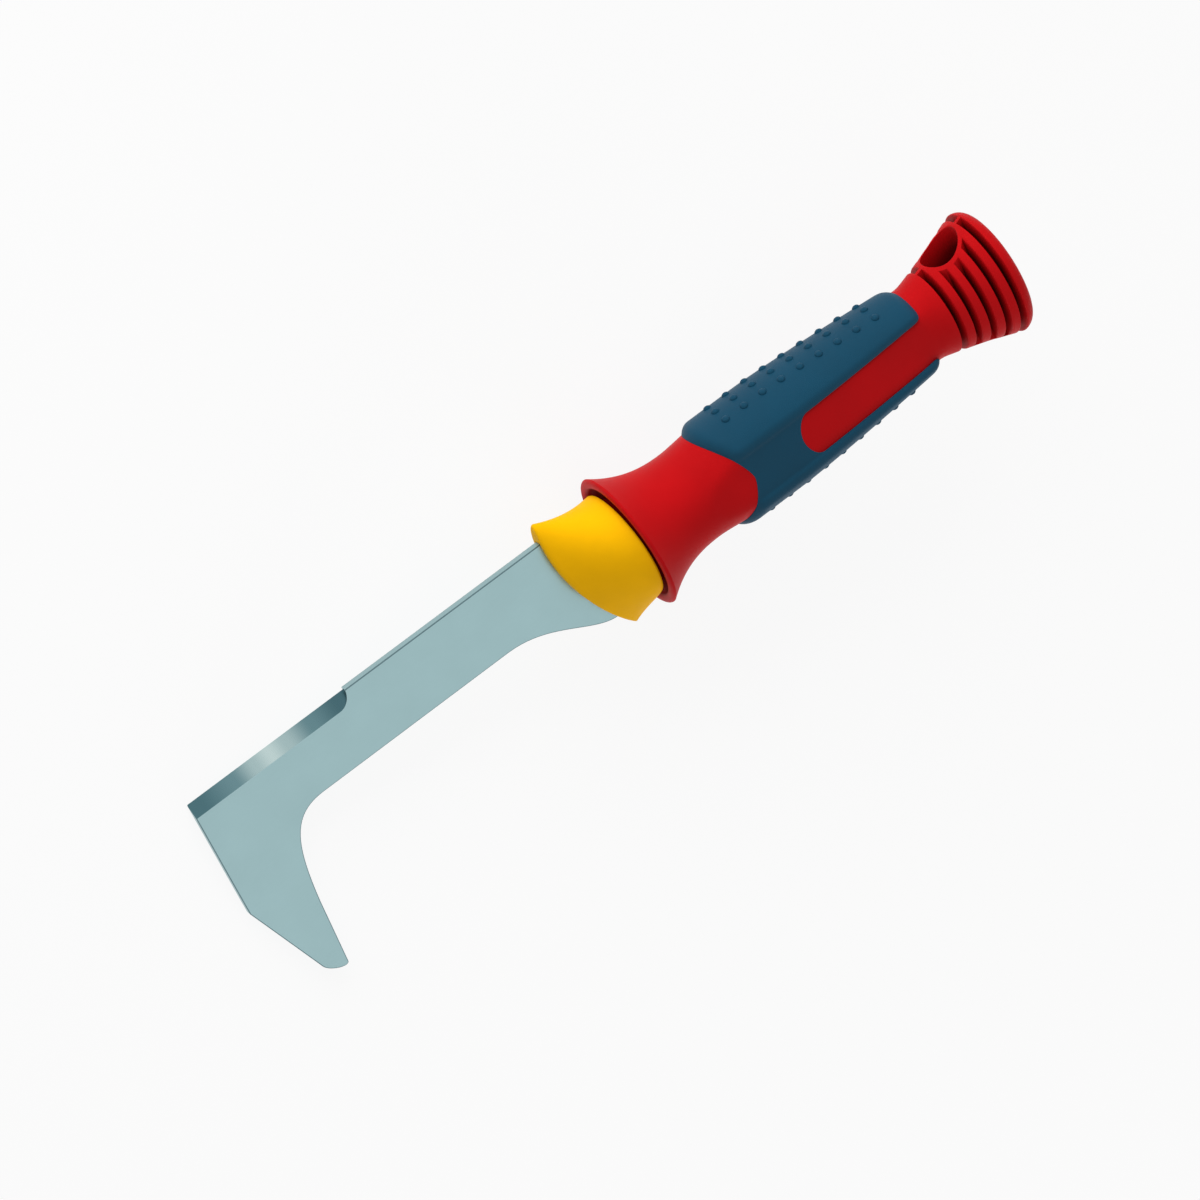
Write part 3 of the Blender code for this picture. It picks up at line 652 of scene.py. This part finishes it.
def set_inputs(node, **values):
    for name, value in values.items():
        node.inputs[name.replace("_", " ")].default_value = value


skin = bpy.data.node_groups.new("moulded_skin", "ShaderNodeTree")
sockets = [("Vector", "INPUT", "NodeSocketVector"), ("Colour", "INPUT", "NodeSocketColor")]
sockets += [("Grain Scale", "INPUT", "NodeSocketFloat"), ("Roughness", "INPUT", "NodeSocketFloat")]
sockets += [("Colour", "OUTPUT", "NodeSocketColor"), ("Roughness", "OUTPUT", "NodeSocketFloat")]
sockets += [("Height", "OUTPUT", "NodeSocketFloat")]
for name, way, kind in sockets:
    skin.interface.new_socket(name=name, in_out=way, socket_type=kind)
given = add_node(skin, "NodeGroupInput")
result = add_node(skin, "NodeGroupOutput")

grain = add_node(skin, "ShaderNodeTexNoise")
set_inputs(grain, Detail=2.0, Roughness=0.6)
flow = add_node(skin, "ShaderNodeTexNoise")
set_inputs(flow, Scale=45.0, Detail=3.0, Roughness=0.55)
tone = add_node(skin, "ShaderNodeMapRange")
set_inputs(tone, From_Min=0.3, From_Max=0.7, To_Min=0.93, To_Max=1.05)
tint = add_node(skin, "ShaderNodeVectorMath", operation="SCALE")
gloss = add_node(skin, "ShaderNodeMapRange")
set_inputs(gloss, From_Min=0.3, From_Max=0.7, To_Min=-0.05, To_Max=0.05)
worn = add_node(skin, "ShaderNodeMath", operation="ADD", use_clamp=True)

skin.links.new(given.outputs["Vector"], grain.inputs["Vector"])
skin.links.new(given.outputs["Grain Scale"], grain.inputs["Scale"])
skin.links.new(given.outputs["Vector"], flow.inputs["Vector"])
skin.links.new(flow.outputs["Fac"], tone.inputs["Value"])
skin.links.new(given.outputs["Colour"], tint.inputs[0])
skin.links.new(tone.outputs["Result"], tint.inputs["Scale"])
skin.links.new(flow.outputs["Fac"], gloss.inputs["Value"])
skin.links.new(gloss.outputs["Result"], worn.inputs[0])
skin.links.new(given.outputs["Roughness"], worn.inputs[1])
skin.links.new(tint.outputs["Vector"], result.inputs["Colour"])
skin.links.new(worn.outputs["Value"], result.inputs["Roughness"])
skin.links.new(grain.outputs["Fac"], result.inputs["Height"])
print("nodes in the moulded skin:", len(skin.nodes))


# %% The three plastics
def new_material(name):
    material = bpy.data.materials.new(name)
    material.use_nodes = True
    return material, material.node_tree, material.node_tree.nodes["Principled BSDF"]


def moulded(name, colour, shine, roughness, grain_scale, grain_depth, recess_shade=1.0):
    """A moulded plastic: colour and roughness come through the shared skin, grain as a bump."""
    material, tree, shader = new_material(name)
    shader.inputs["Specular IOR Level"].default_value = shine
    spots = add_node(tree, "ShaderNodeTexCoord")
    group = add_node(tree, "ShaderNodeGroup", node_tree=skin)
    group.inputs["Colour"].default_value = (*colour, 1.0)
    group.inputs["Grain Scale"].default_value = grain_scale
    group.inputs["Roughness"].default_value = roughness
    bump = add_node(tree, "ShaderNodeBump")
    set_inputs(bump, Strength=1.0, Distance=grain_depth)
    tree.links.new(spots.outputs["Object"], group.inputs["Vector"])
    colour_out, rough_out = group.outputs["Colour"], group.outputs["Roughness"]
    # Painted shade: where the recess value is high, the colour darkens to the given share and the
    # roughness rises.
    if recess_shade < 1.0:
        recess = add_node(tree, "ShaderNodeAttribute", attribute_name="recess")
        fade = add_node(tree, "ShaderNodeMapRange")
        set_inputs(fade, To_Min=1.0, To_Max=recess_shade)
        painted_shade = add_node(tree, "ShaderNodeVectorMath", operation="SCALE")
        chalk = add_node(tree, "ShaderNodeMath", operation="MAXIMUM")
        tree.links.new(recess.outputs["Fac"], fade.inputs["Value"])
        tree.links.new(colour_out, painted_shade.inputs[0])
        tree.links.new(fade.outputs["Result"], painted_shade.inputs["Scale"])
        tree.links.new(recess.outputs["Fac"], chalk.inputs[0])
        tree.links.new(rough_out, chalk.inputs[1])
        colour_out, rough_out = painted_shade.outputs["Vector"], chalk.outputs["Value"]
    tree.links.new(colour_out, shader.inputs["Base Color"])
    tree.links.new(rough_out, shader.inputs["Roughness"])
    tree.links.new(group.outputs["Height"], bump.inputs["Height"])
    tree.links.new(bump.outputs["Normal"], shader.inputs["Normal"])
    return material


# The red plastic gets painted shade in its recesses, down to 0.14 of its colour.
red = moulded("red_plastic", (0.47, 0.004, 0.006), 0.06, 0.46, 3200.0, 0.00002, recess_shade=0.14)
yellow = moulded("yellow_plastic", (0.90, 0.46, 0.001), 0.05, 0.5, 3200.0, 0.00002)
blue = moulded("blue_soft_plastic", (0.0055, 0.053, 0.098), 0.13, 0.52, 2600.0, 0.00006)
print("plastics:", [plastic.name for plastic in (red, yellow, blue)])

# %% [markdown]
# ## Steel
#
# The plate is rolled and lightly blasted, so it is satin with faint streaks along its length. The
# ground facet is painted brighter in the middle and darker at both ends: a painted reflection. Its
# wheel marks run across the edge. The rolled rounding of the stamped edge is darker than both.
# The Mapping node turns the pattern to the tool's own axes.

# %% The steel finishes
# Painted reflection on the ground facet: dark at both ends and bright in the middle.
PAINTED_REFLECTION_TONES = [
    (0.06, (0.13, 0.22, 0.25)),
    (0.27, (0.24, 0.34, 0.37)),
    (0.40, (0.62, 0.66, 0.66)),
    (0.50, (0.86, 0.84, 0.82)),
    (0.60, (0.62, 0.66, 0.66)),
    (0.76, (0.22, 0.32, 0.35)),
    (0.94, (0.11, 0.19, 0.22)),
]


def steel(name, colour, roughness, streaks, streak_depth, ground=False):
    """A bare steel with streaks, and with a painted reflection along the facet where it is ground.
    """
    material, tree, shader = new_material(name)
    shader.inputs["Metallic"].default_value = 1.0
    spots = add_node(tree, "ShaderNodeTexCoord")
    square = add_node(tree, "ShaderNodeMapping", vector_type="TEXTURE")
    square.inputs["Location"].default_value = place
    square.inputs["Rotation"].default_value = TILT
    stretch = add_node(tree, "ShaderNodeVectorMath", operation="MULTIPLY")
    stretch.inputs[1].default_value = streaks
    streak = add_node(tree, "ShaderNodeTexNoise")
    set_inputs(streak, Scale=1.0, Detail=4.0, Roughness=0.6)
    cloud = add_node(tree, "ShaderNodeTexNoise")
    set_inputs(cloud, Scale=60.0, Detail=3.0)
    tone = add_node(tree, "ShaderNodeMapRange")
    set_inputs(tone, From_Min=0.3, From_Max=0.7, To_Min=0.98, To_Max=1.02)
    shade = add_node(tree, "ShaderNodeVectorMath", operation="SCALE")
    shade.inputs[0].default_value = colour
    rough = add_node(tree, "ShaderNodeMapRange")
    set_inputs(rough, From_Min=0.3, From_Max=0.7)
    set_inputs(rough, To_Min=roughness - 0.05, To_Max=roughness + 0.05)
    bump = add_node(tree, "ShaderNodeBump")
    set_inputs(bump, Strength=1.0, Distance=streak_depth)
    tree.links.new(spots.outputs["Object"], square.inputs["Vector"])
    tree.links.new(square.outputs["Vector"], stretch.inputs[0])
    tree.links.new(stretch.outputs["Vector"], streak.inputs["Vector"])
    tree.links.new(square.outputs["Vector"], cloud.inputs["Vector"])
    tree.links.new(cloud.outputs["Fac"], tone.inputs["Value"])
    tree.links.new(tone.outputs["Result"], shade.inputs["Scale"])
    tree.links.new(streak.outputs["Fac"], rough.inputs["Value"])
    tree.links.new(rough.outputs["Result"], shader.inputs["Roughness"])
    tree.links.new(streak.outputs["Fac"], bump.inputs["Height"])
    tree.links.new(bump.outputs["Normal"], shader.inputs["Normal"])
    colour_out = shade.outputs["Vector"]
    # Painted reflection: the facet's colour is multiplied by a ramp along X, bright in its middle.
    if ground:
        parts = add_node(tree, "ShaderNodeSeparateXYZ")
        painted_reflection = add_node(tree, "ShaderNodeValToRGB")
        reach = add_node(tree, "ShaderNodeMapRange")
        set_inputs(reach, From_Min=0.001 * SPINE_FRONT, From_Max=0.001 * BEVEL_END)
        ramp = painted_reflection.color_ramp
        ramp.interpolation = "EASE"
        for element, (spot, tint) in zip(ramp.elements, (PAINTED_REFLECTION_TONES[0], PAINTED_REFLECTION_TONES[-1])):
            element.position, element.color = spot, (*tint, 1.0)
        for spot, tint in PAINTED_REFLECTION_TONES[1:-1]:
            ramp.elements.new(spot).color = (*tint, 1.0)
        dim = add_node(tree, "ShaderNodeVectorMath", operation="MULTIPLY")
        tree.links.new(square.outputs["Vector"], parts.inputs["Vector"])
        tree.links.new(parts.outputs["X"], reach.inputs["Value"])
        tree.links.new(reach.outputs["Result"], painted_reflection.inputs["Fac"])
        tree.links.new(colour_out, dim.inputs[0])
        tree.links.new(painted_reflection.outputs["Color"], dim.inputs[1])
        colour_out = dim.outputs["Vector"]
    tree.links.new(colour_out, shader.inputs["Base Color"])
    return material


ALONG, ACROSS, EVEN = (180.0, 2600.0, 2600.0), (5200.0, 260.0, 260.0), (900.0, 900.0, 900.0)
plate = steel("satin_steel", (0.33, 0.485, 0.505), 0.38, ALONG, 0.000004)
ground = steel("ground_steel", (0.58, 0.74, 0.75), 0.26, ACROSS, 0.000006, ground=True)
rolled = steel("rolled_edge", (0.13, 0.21, 0.23), 0.45, EVEN, 0.000004)

# %% Share out the steel finishes
for finish in (plate, ground, rolled):
    blade.data.materials.append(finish)
facet_normal = Vector((0.0, math.sin(tilt), math.cos(tilt)))
for face in blade.data.polygons:
    if face.normal.dot(facet_normal) > 0.995:
        face.material_index = 1
    elif 0.05 < abs(face.normal.z) < 0.98:
        face.material_index = 2
special = sum(face.material_index > 0 for face in blade.data.polygons)
print("faces with a ground or rolled finish:", special)

# %% Dress the pieces and lay them down
for piece, material in ((collar, yellow), (handle, red), (grip, blue), (bumps, blue)):
    piece.data.materials.clear()
    piece.data.materials.append(material)
lay_down(blade, "blade")
lay_down(collar, "collar")
lay_down(handle, "handle")
lay_down(grip, "soft_grip")
lay_down(bumps, None)

# %% [markdown]
# ## Floor and light
#
# The studio is a pale floor under an even sky, with one big soft panel behind the tool's spine
# and a weaker one in front of it. The panels light the rounded plastics from both sides. They
# aren't mirrored, so the satin steel shows only the flat tone of the sky and keeps its colour
# from every side.

# %% The rays that see a background
def seen_rays(tree, share):
    """A mask for the rays that show a background: seen straight, mirrored or passed on."""
    rays = add_node(tree, "ShaderNodeLightPath")
    either = add_node(tree, "ShaderNodeMath", operation="MAXIMUM")
    any_of = add_node(tree, "ShaderNodeMath", operation="MAXIMUM")
    part = add_node(tree, "ShaderNodeMath", operation="MULTIPLY")
    part.inputs[1].default_value = share
    tree.links.new(rays.outputs["Is Camera Ray"], either.inputs[0])
    tree.links.new(rays.outputs["Is Glossy Ray"], either.inputs[1])
    tree.links.new(either.outputs["Value"], any_of.inputs[0])
    tree.links.new(rays.outputs["Is Transmission Ray"], any_of.inputs[1])
    tree.links.new(any_of.outputs["Value"], part.inputs[0])
    return part.outputs["Value"]


# %% The floor
FLOOR_HALF, FLOOR_WHITE = 3.0, 0.88

bm = bmesh.new()
bmesh.ops.create_grid(bm, x_segments=8, y_segments=8, size=FLOOR_HALF)
floor = add_piece("floor", bm)
material, tree, shader = new_material("pale_floor")
shader.inputs["Roughness"].default_value = 0.9
shader.inputs["Specular IOR Level"].default_value = 0.0
spots = add_node(tree, "ShaderNodeTexCoord")
speck = add_node(tree, "ShaderNodeTexNoise")
set_inputs(speck, Scale=6.0, Detail=2.0)
paper = add_node(tree, "ShaderNodeMapRange")
set_inputs(paper, To_Min=0.9, To_Max=0.92)
tree.links.new(spots.outputs["Object"], speck.inputs["Vector"])
tree.links.new(speck.outputs["Fac"], paper.inputs["Value"])
tree.links.new(paper.outputs["Result"], shader.inputs["Base Color"])

white = add_node(tree, "ShaderNodeEmission")
mixed = add_node(tree, "ShaderNodeMixShader")
tree.links.new(seen_rays(tree, FLOOR_WHITE), mixed.inputs["Fac"])
tree.links.new(shader.outputs["BSDF"], mixed.inputs[1])
tree.links.new(white.outputs["Emission"], mixed.inputs[2])
tree.links.new(mixed.outputs["Shader"], tree.nodes["Material Output"].inputs["Surface"])
floor.data.materials.append(material)
print("floor in m:", [round(value, 1) for value in floor.dimensions])

# %% The sky
SKY_LIGHT = 0.46
WHITE = (1.0, 1.0, 1.0, 1.0)

world = bpy.data.worlds.new("studio")
bpy.context.scene.world = world
world.use_nodes = True
tree = world.node_tree
dim = tree.nodes["Background"]
set_inputs(dim, Color=WHITE, Strength=SKY_LIGHT)
bright = add_node(tree, "ShaderNodeBackground")
set_inputs(bright, Color=WHITE, Strength=1.0)
mixed = add_node(tree, "ShaderNodeMixShader")
tree.links.new(seen_rays(tree, 1.0), mixed.inputs["Fac"])
tree.links.new(dim.outputs["Background"], mixed.inputs[1])
tree.links.new(bright.outputs["Background"], mixed.inputs[2])
tree.links.new(mixed.outputs["Shader"], tree.nodes["World Output"].inputs["Surface"])
print("sky strength on the object:", SKY_LIGHT)


# %% The light panels
PANEL_DISTANCE = 1.5


def panel(name, towards, width, height, power):
    """A soft light panel that faces the tool from a direction, given in the tool's own axes."""
    lamp = bpy.data.lights.new(name, "AREA")
    lamp.shape = "RECTANGLE"
    lamp.size, lamp.size_y = width, height
    lamp.energy = power
    made = bpy.data.objects.new(name, lamp)
    bpy.context.scene.collection.objects.link(made)
    way = (TURN @ Vector(towards)).normalized()
    made.location = way * PANEL_DISTANCE
    made.rotation_mode = "QUATERNION"
    made.rotation_quaternion = way.to_track_quat("Z", "Y")
    made.visible_glossy = False
    print(name, "at", [round(value, 2) for value in made.location])


panel("key_panel", (0.1, 0.94, 0.28), 1.6, 0.9, 21.0)
panel("fill_panel", (0.0, -0.985, 0.17), 0.9, 0.3, 9.0)

bpy.context.scene.view_settings.view_transform = "Standard"
